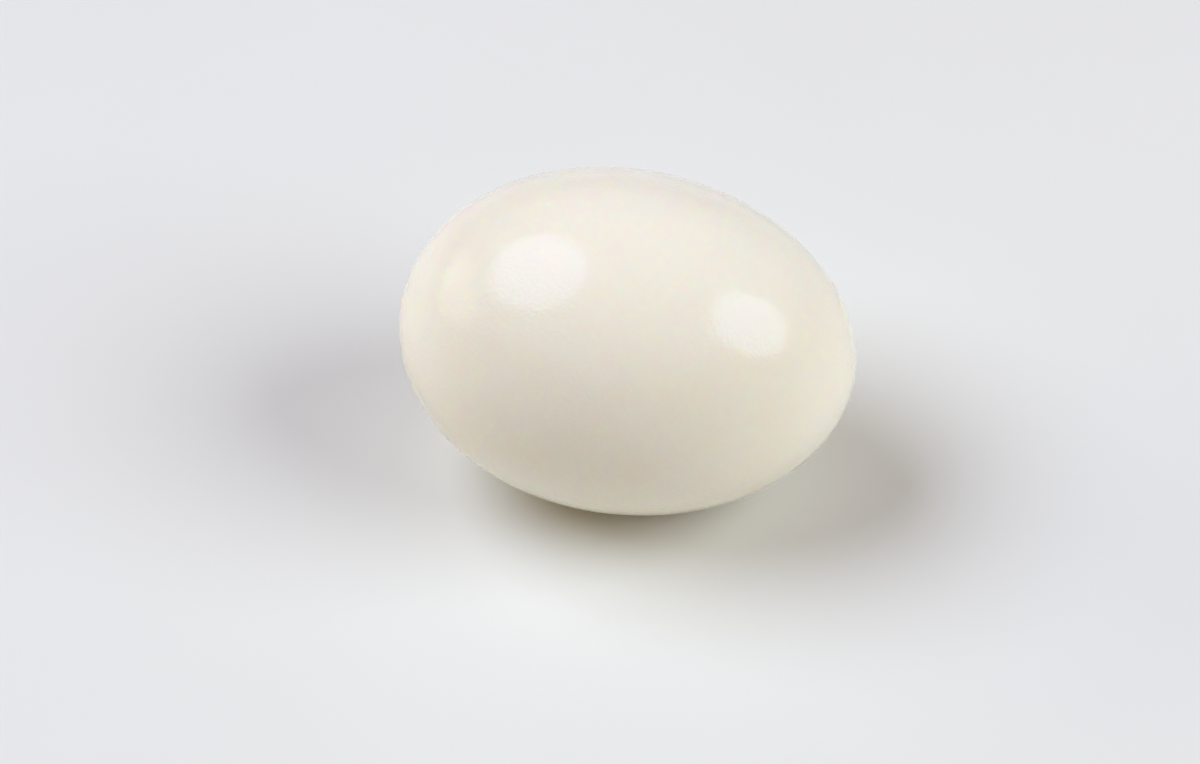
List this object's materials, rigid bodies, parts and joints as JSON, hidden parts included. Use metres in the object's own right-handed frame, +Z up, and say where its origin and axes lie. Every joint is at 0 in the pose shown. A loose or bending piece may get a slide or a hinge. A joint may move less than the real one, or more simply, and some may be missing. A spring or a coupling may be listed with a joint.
{
  "type": "peeled boiled egg",
  "caption": "Peeled boiled hen's egg lying on its side: a smooth cream-white ovoid, one end blunter than the other, slightly flattened where it rests.",
  "frame": {"origin": "on the surface the egg rests on, under the middle of its length and breadth", "axes": "+Z is up from the resting spot, +X runs along the egg towards its pointed end, +Y runs across it"},
  "size_m": [0.0568, 0.0424, 0.0419],
  "materials": {
    "egg_white": "cooked egg white: moist, smooth and faintly translucent cream, with a soft satin sheen and very fine pitting"
  },
  "bodies": {
    "root": {"peeled_egg": "egg_white"}
  },
  "joints": []
}
